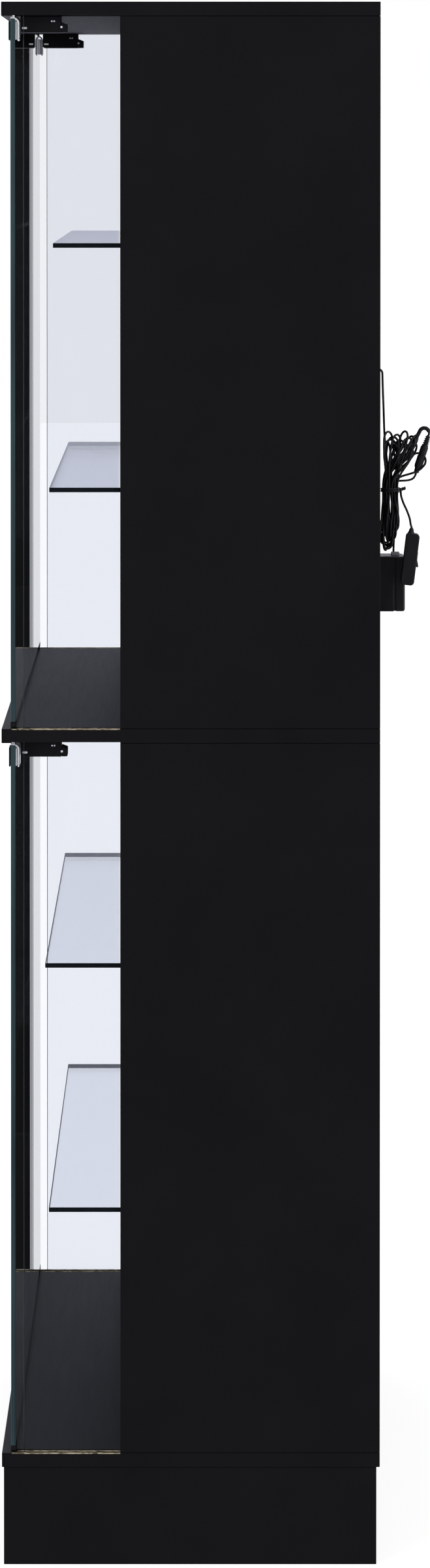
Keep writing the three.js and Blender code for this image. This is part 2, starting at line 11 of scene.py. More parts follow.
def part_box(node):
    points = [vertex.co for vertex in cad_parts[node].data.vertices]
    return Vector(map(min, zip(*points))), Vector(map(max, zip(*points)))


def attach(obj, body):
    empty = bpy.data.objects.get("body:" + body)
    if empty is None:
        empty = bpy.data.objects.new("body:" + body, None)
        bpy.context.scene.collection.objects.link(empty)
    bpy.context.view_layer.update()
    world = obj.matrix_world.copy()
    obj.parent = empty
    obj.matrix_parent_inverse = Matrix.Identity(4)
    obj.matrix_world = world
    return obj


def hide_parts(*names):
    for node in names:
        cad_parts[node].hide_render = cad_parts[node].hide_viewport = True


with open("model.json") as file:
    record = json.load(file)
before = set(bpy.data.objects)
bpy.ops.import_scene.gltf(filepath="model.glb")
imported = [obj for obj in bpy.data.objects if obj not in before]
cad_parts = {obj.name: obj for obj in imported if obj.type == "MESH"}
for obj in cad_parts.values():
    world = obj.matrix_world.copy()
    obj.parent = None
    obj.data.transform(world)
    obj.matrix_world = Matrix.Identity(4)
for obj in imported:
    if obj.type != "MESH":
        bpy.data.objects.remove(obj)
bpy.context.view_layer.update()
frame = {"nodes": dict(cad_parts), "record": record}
nodes = frame["nodes"]

MM = 0.001
LEVELS = ("lower", "upper")
SIDES = (("left", -1), ("right", 1))
case_low, case_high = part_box("top_panel")
SIDE_X = case_high.x
FRONT_Y = case_low.y
HINGE_INSET = 10 * MM  # from the cabinet's side to the line that its doors turn about
HINGE_X = SIDE_X - HINGE_INSET

# ---------------------------------------------------------------- camera

LENS = 105.45
SENSOR_WIDTH = 36
SHIFT_X, SHIFT_Y = 0.0154, -0.3595  # the framing that is off the lens's axis
CAMERA_DISTANCE = 4.843  # from the near side of the cabinet
CAMERA_HEIGHT = 1.498
CAMERA_PITCH = math.radians(0.87)

camera_data = bpy.data.cameras.new("camera")
camera = bpy.data.objects.new("camera", camera_data)
bpy.context.scene.collection.objects.link(camera)
bpy.context.scene.camera = camera
camera_data.lens = LENS
camera_data.sensor_width = SENSOR_WIDTH
camera_data.shift_x = SHIFT_X
camera_data.shift_y = SHIFT_Y
camera_data.clip_end = 100
camera.location = (SIDE_X + CAMERA_DISTANCE, 0, CAMERA_HEIGHT)
camera.rotation_euler = (math.pi / 2 - CAMERA_PITCH, 0, math.pi / 2)
bpy.context.scene.view_settings.view_transform = "Standard"


# ---------------------------------------------------------------- node helpers


LINE_CORE = 0.6  # share of a drawn line's half width that is at full strength


class Graph:
    """A material's node tree, with short calls for the nodes that the finishes here use."""

    def __init__(self, name):
        self.material = bpy.data.materials.new(name)
        self.material.use_nodes = True
        self.tree = self.material.node_tree
        self.tree.nodes.clear()
        self.output = self.tree.nodes.new("ShaderNodeOutputMaterial")

    def node(self, kind, inputs=None, **settings):
        made = self.tree.nodes.new("ShaderNode" + kind)
        for key, value in settings.items():
            setattr(made, key, value)
        for key, value in (inputs or {}).items():
            self.set(made.inputs[key], value)
        return made

    def set(self, socket, value):
        if isinstance(value, bpy.types.NodeSocket):
            self.tree.links.new(value, socket)
        else:
            socket.default_value = value

    def position(self, stretch=(1, 1, 1)):
        """Place in the cabinet's own frame, in metres, stretched along each axis."""
        place = self.node("TexCoord").outputs["Object"]
        return self.node("Mapping", {"Vector": place, "Scale": stretch}).outputs["Vector"]

    def noise(self, vector, scale, detail=3, roughness=0.5):
        inputs = {"Vector": vector, "Scale": scale, "Detail": detail, "Roughness": roughness}
        return self.node("TexNoise", inputs).outputs["Fac"]

    def ramp(self, value, stops, interpolation="LINEAR"):
        made = self.node("ValToRGB", {"Fac": value})
        made.color_ramp.interpolation = interpolation
        while len(made.color_ramp.elements) < len(stops):
            made.color_ramp.elements.new(0.5)
        for element, (at, color) in zip(made.color_ramp.elements, stops):
            element.position = at
            element.color = (*color, 1)
        return made.outputs["Color"]

    def spread(self, value, low, high, source=(0.0, 1.0)):
        inputs = {"Value": value, "From Min": source[0], "From Max": source[1]}
        inputs.update({"To Min": low, "To Max": high})
        return self.node("MapRange", inputs).outputs["Result"]

    def math(self, operation, first, second=0.0):
        made = self.node("Math", operation=operation)
        self.set(made.inputs[0], first)
        self.set(made.inputs[1], second)
        return made.outputs[0]

    def line(self, axis, place, half_width):
        """1 within half a width of a plane across an axis, and 0 away from it."""
        along = self.node("SeparateXYZ", {"Vector": self.position()}).outputs[axis]
        off = self.math("ABSOLUTE", self.math("SUBTRACT", along, place))
        return self.spread(off, 1.0, 0.0, (half_width * LINE_CORE, half_width))

    def mix(self, factor, first, second):
        made = self.node("Mix", {"Factor": factor}, data_type="RGBA")
        self.set(made.inputs["A"], first)
        self.set(made.inputs["B"], second)
        return made.outputs["Result"]

    def bump(self, height, strength, distance):
        inputs = {"Height": height, "Strength": strength, "Distance": distance}
        return self.node("Bump", inputs).outputs["Normal"]

    def surface(self, **inputs):
        shader = self.node("BsdfPrincipled", inputs)
        self.tree.links.new(shader.outputs["BSDF"], self.output.inputs["Surface"])
        return self.material


EDGE_BAND = 2.7 * MM  # thickness of the band glued to the boards' front edges
BAND_SEAM = 0.35 * MM  # half the width of the seam behind it
SEAM_SHADE = 0.25  # how much of the foil's colour is left in the seam


def board_finish(name, dark, light, roughness, specular, coarse=900.0, banded=False):
    """Melamine foil on chipboard: a fine pebbled emboss, faint cloudiness and rub marks."""
    g = Graph(name)
    place = g.position()
    cloud = g.noise(place, 9.0, 4, 0.6)
    grain = g.noise(place, coarse, 2, 0.55)
    rubs = g.noise(g.position((3, 60, 3)), 4.0, 5, 0.7)
    tone = g.math("ADD", g.math("MULTIPLY", cloud, 0.6), g.math("MULTIPLY", grain, 0.4))
    color = g.ramp(tone, [(0.25, dark), (0.75, light)])
    height = grain
    if banded:
        seam = g.line("Y", FRONT_Y + EDGE_BAND, BAND_SEAM)
        color = g.mix(seam, color, (*[c * SEAM_SHADE for c in dark], 1))
        height = g.math("SUBTRACT", grain, seam)
    rough = g.math("ADD", g.spread(rubs, -0.05, 0.06), g.spread(grain, -0.04, 0.04))
    return g.surface(
        **{
            "Base Color": color,
            "Roughness": g.math("ADD", rough, roughness),
            "Specular IOR Level": specular,
            "Normal": g.bump(height, 0.25, 0.0003),
        }
    )


def raw_chipboard():
    """The sawn core of the board: pale pressed chips with dark specks and open pores."""
    g = Graph("raw_chipboard")
    place = g.position((1, 0.45, 1))
    chips = g.node("TexVoronoi", {"Vector": place, "Scale": 520.0, "Randomness": 1.0})
    tone = g.node("SeparateColor", {"Color": chips.outputs["Color"]}).outputs["Red"]
    fibre = g.noise(place, 900.0, 3, 0.7)
    wood = g.ramp(
        g.math("ADD", g.math("MULTIPLY", tone, 0.7), g.math("MULTIPLY", fibre, 0.3)),
        [(0.12, (0.03, 0.024, 0.016)), (0.4, (0.2, 0.165, 0.11)), (0.85, (0.42, 0.37, 0.27))],
    )
    return g.surface(
        **{
            "Base Color": wood,
            "Roughness": g.spread(fibre, 0.75, 0.95),
            "Specular IOR Level": 0.2,
            "Normal": g.bump(tone, 0.6, 0.0004),
        }
    )


FACE_MIRROR = 0.042  # what one face of glass mirrors when it is seen straight on


def clear_glass(name, tint, rise, full_at):
    """One face of float glass: it passes a tint, and mirrors more the flatter it is seen."""
    g = Graph(name)
    facing = g.node("LayerWeight", {"Blend": 0.5}).outputs["Facing"]
    mirrored = g.spread(g.math("POWER", facing, rise), FACE_MIRROR, 1.0, (0.0, full_at))
    smear = g.noise(g.position((1, 1, 0.35)), 14.0, 4, 0.65)
    passed = g.node("BsdfTransparent", {"Color": (*tint, 1)})
    shine = g.node(
        "BsdfPrincipled",
        {
            "Base Color": g.mix(smear, (0.96, 0.98, 1.0, 1), (0.92, 0.95, 0.98, 1)),
            "Metallic": 1.0,
            "Roughness": g.spread(smear, 0.0, 0.012, (0.45, 0.8)),
        },
    )
    both = g.node("MixShader", {"Fac": mirrored})
    g.tree.links.new(passed.outputs["BSDF"], both.inputs[1])
    g.tree.links.new(shine.outputs["BSDF"], both.inputs[2])
    g.tree.links.new(both.outputs["Shader"], g.output.inputs["Surface"])
    return g.material


def ground_edge(name, deep, pale, specular):
    """The polished edge of a glass pane, dark along its length, with drawn streaks."""
    g = Graph(name)
    streaks = g.noise(g.position((260, 260, 1.2)), 5.0, 3, 0.6)
    patches = g.noise(g.position(), 5.5, 2, 0.5)
    tone = g.math("ADD", g.math("MULTIPLY", streaks, 0.45), g.math("MULTIPLY", patches, 0.55))
    return g.surface(
        **{
            "Base Color": g.ramp(tone, [(0.3, deep), (0.7, pale)]),
            "Roughness": g.spread(streaks, 0.18, 0.34),
            "Specular IOR Level": specular,
            "Normal": g.bump(streaks, 0.05, 0.0001),
        }
    )


def metal(name, color, roughness, brushed=0.0, metallic=1.0):
    """Plated steel with fine wear, and brushed across if asked."""
    g = Graph(name)
    streak = g.noise(g.position((20, 20, 900)), 3.0, 3, 0.6)
    wear = g.noise(g.position(), 260.0, 4, 0.6)
    worn = tuple(c * 0.8 for c in color)
    return g.surface(
        **{
            "Base Color": g.mix(g.spread(wear, 0.0, 0.35), (*color, 1), (*worn, 1)),
            "Metallic": metallic,
            "Roughness": g.math("ADD", g.spread(wear, -0.03, 0.06), roughness),
            "Normal": g.bump(streak, brushed, 0.0001),
        }
    )


def plastic(name, color, roughness, grain_scale=2600.0, grain=0.15, specular=0.3):
    """Moulded plastic with a spark-eroded grain and slightly polished raised places."""
    g = Graph(name)
    place = g.position()
    fine = g.noise(place, grain_scale, 2, 0.5)
    broad = g.noise(place, 70.0, 3, 0.6)
    lighter = tuple(min(1, c * 1.5 + 0.002) for c in color)
    return g.surface(
        **{
            "Base Color": g.mix(broad, (*color, 1), (*lighter, 1)),
            "Roughness": g.math("ADD", g.spread(broad, -0.06, 0.08), roughness),
            "Specular IOR Level": specular,
            "Normal": g.bump(fine, grain, 0.0002),
        }
    )


BLACK = ((0.0026, 0.0026, 0.0033), (0.0050, 0.0049, 0.0062))
MATERIAL = {
    "board": board_finish("black_melamine", *BLACK, 0.5, 0.1),
    "panel": board_finish("banded_melamine", *BLACK, 0.5, 0.1, banded=True),
    "plinth": board_finish(
        "plinth_melamine", (0.0026, 0.0025, 0.0031), (0.005, 0.0048, 0.0058), 0.55, 0.1
    ),
    "back": board_finish(
        "back_fibreboard", (0.008, 0.008, 0.009), (0.018, 0.017, 0.017), 0.75, 0.2, 1500.0
    ),
    "raw": raw_chipboard(),
    "door_glass": clear_glass("door_glass", (0.972, 0.982, 0.99), 5.0, 0.78),
    "pane_glass": clear_glass("pane_glass", (0.966, 0.973, 0.992), 8.0, 1.0),
    "door_edge": ground_edge("door_glass_edge", (0.004, 0.012, 0.016), (0.022, 0.05, 0.056), 0.3),
    "pane_edge": ground_edge("pane_glass_edge", (0.004, 0.008, 0.01), (0.014, 0.026, 0.03), 0.3),
    "shelf_edge": ground_edge(
        "shelf_glass_edge", (0.003, 0.004, 0.005), (0.008, 0.011, 0.014), 0.08
    ),
    "chrome": metal("bright_chrome", (0.85, 0.86, 0.88), 0.08, metallic=0.8),
    "nickel": metal("nickel_plate", (0.6, 0.59, 0.57), 0.28, 0.1),
    "rivet": metal("satin_rivet", (0.95, 0.95, 0.96), 0.45, metallic=0.4),
    "black": plastic("hinge_black", (0.0042, 0.0042, 0.0047), 0.45, specular=0.12),
    "shim": metal("clamp_shim", (0.5, 0.51, 0.55), 0.4, 0.1, 0.4),
    "light": plastic("opal_diffuser", (0.75, 0.74, 0.7), 0.45, 900.0, 0.05),
    "jacket": plastic("cord_jacket", (0.0042, 0.0042, 0.0048), 0.36, 1800.0, 0.1),
    "housing": plastic("housing_black", (0.0052, 0.0054, 0.0064), 0.34, 1500.0, 0.25),
    "relief": plastic("relief_grey", (0.2, 0.2, 0.21), 0.5),
}

# ---------------------------------------------------------------- piece helpers

SHARP_ANGLE = math.radians(40)  # edges that turn more than this stay crisp


def finish_piece(obj, body, material):
    """Links a made object, gives it its finish and makes it ride on its body."""
    bpy.context.scene.collection.objects.link(obj)
    for one in material if isinstance(material, tuple) else (material,):
        obj.data.materials.append(MATERIAL[one])
    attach(obj, body)
    return obj


def from_bmesh(name, bm, body, material):
    bmesh.ops.recalc_face_normals(bm, faces=bm.faces)
    mesh = bpy.data.meshes.new(name)
    bm.to_mesh(mesh)
    bm.free()
    for polygon in mesh.polygons:
        polygon.use_smooth = True
    mesh.set_sharp_from_angle(angle=SHARP_ANGLE)
    piece = finish_piece(bpy.data.objects.new(name, mesh), body, material)
    evened = piece.modifiers.new("even_shading", "WEIGHTED_NORMAL")
    evened.keep_sharp = True
    return piece


def round_edges(bm, edges, radius, segments=2):
    bmesh.ops.bevel(
        bm, geom=edges, offset=radius, segments=segments, affect="EDGES", profile=0.5
    )


def add_block(bm, low, high, bevel=0.0, segments=2):
    """A box with rounded edges, added to a mesh in the making."""
    low, high = Vector(low), Vector(high)
    place = Matrix.Translation((low + high) / 2) @ Matrix.Diagonal((*(high - low), 1))
    made = bmesh.ops.create_cube(bm, size=1, matrix=place)
    if bevel:
        round_edges(bm, list({e for v in made["verts"] for e in v.link_edges}), bevel, segments)


def add_lathe(bm, profile, matrix, sides=24):
    """A round piece from (radius, height) pairs, closed at both ends, standing on +Z."""
    rings = []
    for r, z in profile:
        ring = []
        for i in range(sides):
            a = 2 * math.pi * i / sides
            ring.append(bm.verts.new(matrix @ Vector((r * math.cos(a), r * math.sin(a), z))))
        rings.append(ring)
    for lower, upper in zip(rings, rings[1:]):
        for i in range(sides):
            j = (i + 1) % sides
            bm.faces.new((lower[i], lower[j], upper[j], upper[i]))
    bm.faces.new(list(reversed(rings[0])))
    bm.faces.new(rings[-1])


def add_prism(bm, outline, x0, x1, bevel=0.0, segments=2):
    """An outline of (y, z) pairs, extruded along X between two places."""
    near = [bm.verts.new((x0, y, z)) for y, z in outline]
    far = [bm.verts.new((x1, y, z)) for y, z in outline]
    faces = [bm.faces.new(near), bm.faces.new(list(reversed(far)))]
    for i in range(len(outline)):
        j = (i + 1) % len(outline)
        faces.append(bm.faces.new((near[i], far[i], far[j], near[j])))
    bmesh.ops.recalc_face_normals(bm, faces=faces)
    if bevel:
        edges = {e for face in faces[:2] for e in face.edges}
        round_edges(bm, list(edges), bevel, segments)


def turned(direction):
    """The rotation that points +Z along a direction."""
    return Vector(direction).to_track_quat("Z", "Y").to_matrix().to_4x4()


def arc(center, radius, start, end, steps):
    """Points on an arc, with its angles in degrees."""
    angles = [math.radians(start + (end - start) * i / steps) for i in range(steps + 1)]
    return [(center[0] + radius * math.cos(a), center[1] + radius * math.sin(a)) for a in angles]


def cord_curve(name, points, diameter, body="cabinet"):
    """A round cord of one open spline through closely spaced points."""
    curve = bpy.data.curves.new(name, "CURVE")
    curve.dimensions = "3D"
    curve.bevel_depth = diameter / 2
    curve.bevel_resolution = 3
    curve.use_fill_caps = True
    spline = curve.splines.new("POLY")
    spline.points.add(len(points) - 1)
    for point, place in zip(spline.points, points):
        point.co = (*place, 1)
    spline.use_smooth = True
    return finish_piece(bpy.data.objects.new(name, curve), body, "jacket")


def smooth_route(points, steps=10):
    """A Catmull-Rom line through hand-set points."""
    padded = [2 * points[0] - points[1], *points, 2 * points[-1] - points[-2]]
    route = []
    for a, b, c, d in zip(padded, padded[1:], padded[2:], padded[3:]):
        for i in range(steps):
            t = i / steps
            bend = (2 * a - 5 * b + 4 * c - d) * t * t + (3 * b - a - 3 * c + d) * t**3
            route.append(0.5 * (2 * b + (c - a) * t + bend))
    route.append(points[-1])
    return route


def lerp(a, b, t):
    return a + (b - a) * t


def at(x, y, z):
    return Vector((x, y, z)) * MM


# ---------------------------------------------------------------- cords

CORD = 2.4  # diameter, in millimetres like the other lengths of the hank
HANK_X = 280.0
TIE_Y, TIE_Z = 215.5, 1131.0
TIE_REACH = 4  # how far strands run straight above and below the tie's middle
COLUMN_PITCH, ROW_PITCH = 3.3, 2.9
FIRST_ROW = 1.5  # from the middle of the tie
TURNS = 9  # of each lead in the hank; the adapter's ends half way through its last
COLUMNS = 6  # of strands across the tie
ROWS = 3  # of strands side by side in the tie, on each side of its middle
LOOSE_TURN = 7  # its upper fold hangs out beside the connector
LOOSE_LEAN = 0.95  # outwards for each unit of height
LOOSE_ACROSS = 10  # degrees that the loose fold is turned about its own line
FAN = (-0.13, 0.56)  # lean of the folds nearest to the back board and furthest from it
LOWER_REACH = (38, 66)  # below the tie, of the shortest and the longest lower fold
LOWER_Y = (219.5, 211.0)  # places of the same two
GOLDEN = 0.618034


def scatter(n, low, high, step=GOLDEN, start=0.0):
    """Value n of a run that fills a range evenly and never repeats."""
    return lerp(low, high, (start + n * step) % 1.0)


def through_tie(n, side, going):
    """A strand of turn n, straight through the tie; side is 1 outside, going is 1 upwards."""
    column, row = divmod(n, ROWS)
    x = HANK_X + (column - (COLUMNS - 1) / 2) * COLUMN_PITCH
    y = TIE_Y + side * (FIRST_ROW + ROW_PITCH * row)
    return [at(x, y, TIE_Z - going * TIE_REACH), at(x, y, TIE_Z + going * TIE_REACH)]


def fold(center, way, side, radius, steps=12):
    """Half a circle from one side of a centre, out along way, to the other side."""
    side = (side - way * side.dot(way)).normalized()
    angles = [math.pi * i / steps for i in range(steps + 1)]
    return [(center + (side * math.cos(a) + way * math.sin(a)) * radius) * MM for a in angles]


def upper_fold(n, side):
    """Over the top: the folds fan out from the back board, the nearest to it seen edge on."""
    out = (n * GOLDEN + 0.1) % 1.0
    lean = LOOSE_LEAN if n == LOOSE_TURN else lerp(*FAN, out)
    across = math.radians(scatter(n, 72, 40, 0.57) * (-1) ** n)
    if n == LOOSE_TURN:
        across = math.radians(LOOSE_ACROSS)
    radius = scatter(n, 7.6, 10.0, 0.755)
    way = Vector((scatter(n, -0.05, 0.05, 0.57), lean, 1)).normalized()
    reach = scatter(n, 48, 67, 0.43, 0.2) - radius
    center = Vector((HANK_X, TIE_Y, TIE_Z)) + way * reach
    return fold(center, way, Vector((math.sin(across), math.cos(across), 0)) * side, radius)


def lower_fold(n, side):
    """Under the bottom: the lowest folds are nearest to the back board."""
    share = (n * GOLDEN + 0.35) % 1.0
    across = math.radians(scatter(n, 22, 78, 0.57, 0.3) * (-1) ** n)
    radius = scatter(n, 7.6, 8.4, 0.755)
    y = lerp(*LOWER_Y, share) + scatter(n, -2.5, 2.0, 0.43)
    center = Vector((HANK_X, y, TIE_Z - lerp(*LOWER_REACH, share) + radius))
    flat = Vector((math.sin(across), math.cos(across), 0)) * side
    return fold(center, Vector((0, 0, -1)), flat, radius)


def turns(numbers, side):
    """Stretches that go down through the tie on one side, and up on the other."""
    stretches = []
    for n in numbers:
        stretches += [through_tie(n, side, -1), lower_fold(n, side)]
        stretches += [through_tie(n, -side, 1), upper_fold(n, -side)]
    return stretches


LINK_PULL = 0.4  # how strongly a link between stretches keeps their directions
LINK_STEPS = 10


def joined(*stretches):
    """Stretches end to end, with a smooth curve from each to the next."""
    whole = list(stretches[0])
    for stretch in stretches[1:]:
        a, b = whole[-1], stretch[0]
        pull = (b - a).length * LINK_PULL
        c = a + (a - whole[-2]).normalized() * pull
        d = b - (stretch[1] - b).normalized() * pull
        for i in range(1, LINK_STEPS):
            t = i / LINK_STEPS
            s = 1 - t
            whole.append(a * s**3 + c * 3 * s * s * t + d * 3 * s * t * t + b * t**3)
        whole += stretch
    return whole


# Supply lead, from the grommet down the back board, round its turns and to the connector
grommet_low, grommet_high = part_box("cord_grommet")
EXIT_Y = grommet_high.y / MM
EXIT_Z = (grommet_low.z + grommet_high.z) / 2 / MM
LEAD_START = EXIT_Y + 0.3
LEAD_DROP = (  # outwards and downwards from where the lead leaves the grommet
    (0, 0),
    (1.9, 0.3),
    (3.9, 1.6),
    (5.2, 3.6),
    (5.5, 6.5),
    (5.8, 18),
    (6.6, 40),
    (7.4, 63.7),
)
lead_down = [at(HANK_X, LEAD_START + out, EXIT_Z - down) for out, down in LEAD_DROP]
lead_down = smooth_route(lead_down, 8)
connector_top = at(HANK_X, 256.8, 1189.7)
connector_foot = at(HANK_X, 243.5, 1149.5)
connector_axis = (connector_top - connector_foot).normalized()
CONNECTOR_BEND = 5.2  # radius of the lead where it turns over the connector
BEND_START = 1.5  # from the connector's end
relief_end = connector_top / MM + connector_axis * BEND_START
over_connector = fold(
    relief_end + Vector((0, -connector_axis.z, connector_axis.y)) * CONNECTOR_BEND,
    connector_axis,
    Vector((0, -1, 0)),
    CONNECTOR_BEND,
)
supply = joined(
    lead_down,
    *turns(range(TURNS), -1)[:-1],
    [*over_connector, connector_top - connector_axis * MM],
)
cord_supply = cord_curve("cord_supply_lead", supply, CORD * MM)
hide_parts("cord_lead")

# Adapter lead, from the connector, round its turns and down into the adapter
adapter_low, adapter_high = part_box("adapter")
SOCKET_Y = 219.0  # where the lead enters the adapter's top
RELIEF_HEIGHT = 3.4
SUNK = 12.0  # how far the lead goes into the adapter
socket = Vector((HANK_X * MM, SOCKET_Y * MM, adapter_high.z))
adapter_lead = joined(
    [connector_foot, connector_foot - connector_axis * 3 * MM],
    *turns(range(TURNS, 2 * TURNS - 1), 1),
    through_tie(2 * TURNS - 1, 1, -1),
    [socket + at(0, 0.4, 12), socket, socket - at(0, 0, SUNK)],
)
cord_adapter = cord_curve("cord_adapter_lead", adapter_lead, CORD * MM)
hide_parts("cord_hank")

# Switch lead, from the tie to the top of the inline switch
SWITCH = Vector((311.0, 235.5, 1059.0))  # its middle
SWITCH_TILT = math.radians(7)
SWITCH_HALF = 28.0  # half of its length
SWITCH_ENTRY = -2.2  # from the switch's middle to its lead, towards the back board
switch_up = Vector((0, math.sin(SWITCH_TILT), math.cos(SWITCH_TILT)))
switch_out = Vector((0, math.cos(SWITCH_TILT), -math.sin(SWITCH_TILT)))


def on_switch(up, out=0.0, across=0.0):
    return (SWITCH + switch_up * up + switch_out * out + Vector((across, 0, 0))) * MM


switch_lead = smooth_route(
    [
        at(291.5, 226.3, 1133.5),
        at(296.0, 226.6, 1126.0),
        at(301.5, 228.8, 1118.5),
        at(306.5, 232.4, 1110.5),
        at(309.8, 235.2, 1102.5),
        at(311.0, 236.3, 1096.0),
        on_switch(SWITCH_HALF + 5, SWITCH_ENTRY),
        on_switch(SWITCH_HALF + 0.3, SWITCH_ENTRY),
    ],
    6,
)
cord_switch = cord_curve("cord_switch_lead", switch_lead, CORD * MM)
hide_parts("switch_lead")

# Tie: a twist of covered wire round the bundle, with its two ends twisted together
TIE_HALF = (10.4, 9.4)  # across and outward, to the wire's centre
TIE_WIRE = 1.1  # radius
TIE_SQUARE = 0.75  # 1 would make the tie an ellipse; less than 1 squares its corners
TIE_WRAPS, WRAP_STEPS, WRAP_RISE = 2.0, 96, 4.4
TWIST_STEPS, TWIST_OUT = 24, 6.5
TWIST_RADIUS = 1.1
TWIST_ANGLE = 3 * math.pi


def tie_point(turn, wobble=0.0):
    """A place on the tie's round, with the turn counted from the cabinet's +X side."""
    a = 2 * math.pi * turn
    x = HANK_X + TIE_HALF[0] * math.copysign(abs(math.cos(a)) ** TIE_SQUARE, math.cos(a))
    y = TIE_Y + TIE_HALF[1] * math.copysign(abs(math.sin(a)) ** TIE_SQUARE, math.sin(a))
    return at(x, y, TIE_Z + wobble)


def add_wire(bm, points, radius, sides=10):
    """A round wire along points, closed at its ends."""
    rings = []
    for i, place in enumerate(points):
        ahead = points[min(i + 1, len(points) - 1)] - points[max(i - 1, 0)]
        matrix = Matrix.Translation(place) @ turned(ahead)
        shrink = 0.6 if i in (0, len(points) - 1) else 1.0
        ring = []
        for j in range(sides):
            a = 2 * math.pi * j / sides
            r = radius * shrink
            ring.append(bm.verts.new(matrix @ Vector((r * math.cos(a), r * math.sin(a), 0))))
        rings.append(ring)
    for lower, upper in zip(rings, rings[1:]):
        for i in range(sides):
            j = (i + 1) % sides
            bm.faces.new((lower[i], lower[j], upper[j], upper[i]))
    bm.faces.new(list(reversed(rings[0])))
    bm.faces.new(rings[-1])


tie_mesh = bmesh.new()
wraps = []
for i in range(WRAP_STEPS + 1):
    share = i / WRAP_STEPS
    wraps.append(tie_point(0.25 + TIE_WRAPS * share, WRAP_RISE * (share - 0.5)))
add_wire(tie_mesh, wraps, TIE_WIRE * MM)
for phase in (0, math.pi):
    twist = []
    for i in range(TWIST_STEPS + 1):
        share = i / TWIST_STEPS
        a = phase + share * TWIST_ANGLE
        out = TIE_HALF[1] + 0.6 + share * TWIST_OUT
        x = HANK_X + TWIST_RADIUS * math.cos(a)
        twist.append(at(x, TIE_Y + out, TIE_Z + TWIST_RADIUS * math.sin(a) + 2 * share))
    add_wire(tie_mesh, twist, TIE_WIRE * 0.8 * MM)
tie_band = from_bmesh("twist_tie", tie_mesh, "cabinet", "jacket")
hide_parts("cord_tie")

# Connector: a plug in a socket, with ribbed strain reliefs, one of them bent over with the lead
CONNECTOR_LENGTH = 42.6
RIBS, RIB_PITCH, FIRST_RIB = 5, 2.3, 30.8
SLEEVE = 2.1  # radius of the relief that is bent over
SLEEVE_RIB = 0.45  # half of a rib's length along the lead
SLEEVE_RIB_PROUD = 0.5
connector_mesh = bmesh.new()
# Radius and height, from the plug's relief up
profile = [(1.7, 0.0), (2.5, 0.2), (2.9, 2.4), (3.0, 5.0), (4.1, 6.6), (4.4, 8.5), (4.4, 19.6)]
profile += [(3.7, 20.0), (3.7, 20.6), (4.2, 21.0), (4.2, 29.0), (3.6, 30.2)]
for i in range(RIBS):
    z = FIRST_RIB + i * RIB_PITCH
    r = 3.5 - i * 0.18
    profile += [(r, z), (r, z + 1.2), (r - 1.0, z + 1.4), (r - 1.0, z + 2.1)]
profile += [(1.7, 42.2), (1.6, CONNECTOR_LENGTH)]
profile = [(r * MM, z * MM) for r, z in profile]
add_lathe(connector_mesh, profile, Matrix.Translation(connector_foot) @ turned(connector_axis), 28)
fold_start = -1 - len(over_connector)
BEFORE_FOLD = 3  # points of the lead that the sleeve covers before it turns over
sleeve = supply[fold_start - BEFORE_FOLD : fold_start + len(over_connector) - 1]
add_wire(connector_mesh, sleeve, SLEEVE * MM, 20)
for i in range(BEFORE_FOLD, len(sleeve) - 1, 2):
    along = (sleeve[i + 1] - sleeve[i - 1]).normalized() * SLEEVE_RIB * MM
    rib = [sleeve[i] - along, sleeve[i], sleeve[i] + along]
    add_wire(connector_mesh, rib, (SLEEVE + SLEEVE_RIB_PROUD) * MM, 20)
connector = from_bmesh(
    "lead_connector", connector_mesh, "cabinet", "housing"
)
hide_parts("cord_connector")

# Adapter: two shells meeting in a fine seam, with a blank plate and mains blades
adapter_mesh = bmesh.new()
SEAM = 0.35 * MM
SEAM_SHARE = 0.62  # of the adapter's depth, from the back board
ADAPTER_ROUND = 2.6 * MM
WALL_SIDE_ROUND = 1.2 * MM
CORE_INSET = Vector((0.6, 2, 0.6)) * MM  # of what fills the seam, inside the shells
CORE_OUTER_INSET = Vector((0.6, 3, 0.6)) * MM
seam_y = lerp(adapter_low.y, adapter_high.y, SEAM_SHARE)
for low_y, high_y in ((adapter_low.y, seam_y - SEAM / 2), (seam_y + SEAM / 2, adapter_high.y)):
    add_block(
        adapter_mesh,
        (adapter_low.x, low_y, adapter_low.z),
        (adapter_high.x, high_y, adapter_high.z),
        ADAPTER_ROUND if high_y == adapter_high.y else WALL_SIDE_ROUND,
        4,
    )
add_block(adapter_mesh, adapter_low + CORE_INSET, adapter_high - CORE_OUTER_INSET, MM)
adapter_case = from_bmesh(
    "adapter_case", adapter_mesh, "cabinet", "housing"
)
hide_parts("adapter")

PLATE_SIDE, PLATE_BOTTOM, PLATE_TOP = 7 * MM, 14 * MM, 16 * MM  # its margins on the adapter
PLATE_SUNK, PLATE_PROUD = 0.3 * MM, 0.15 * MM
label_mesh = bmesh.new()
add_block(
    label_mesh,
    (adapter_low.x + PLATE_SIDE, adapter_high.y - PLATE_SUNK, adapter_low.z + PLATE_BOTTOM),
    (adapter_high.x - PLATE_SIDE, adapter_high.y + PLATE_PROUD, adapter_high.z - PLATE_TOP),
    0.12 * MM,
)
adapter_label = from_bmesh("adapter_blank_plate", label_mesh, "cabinet", "black")

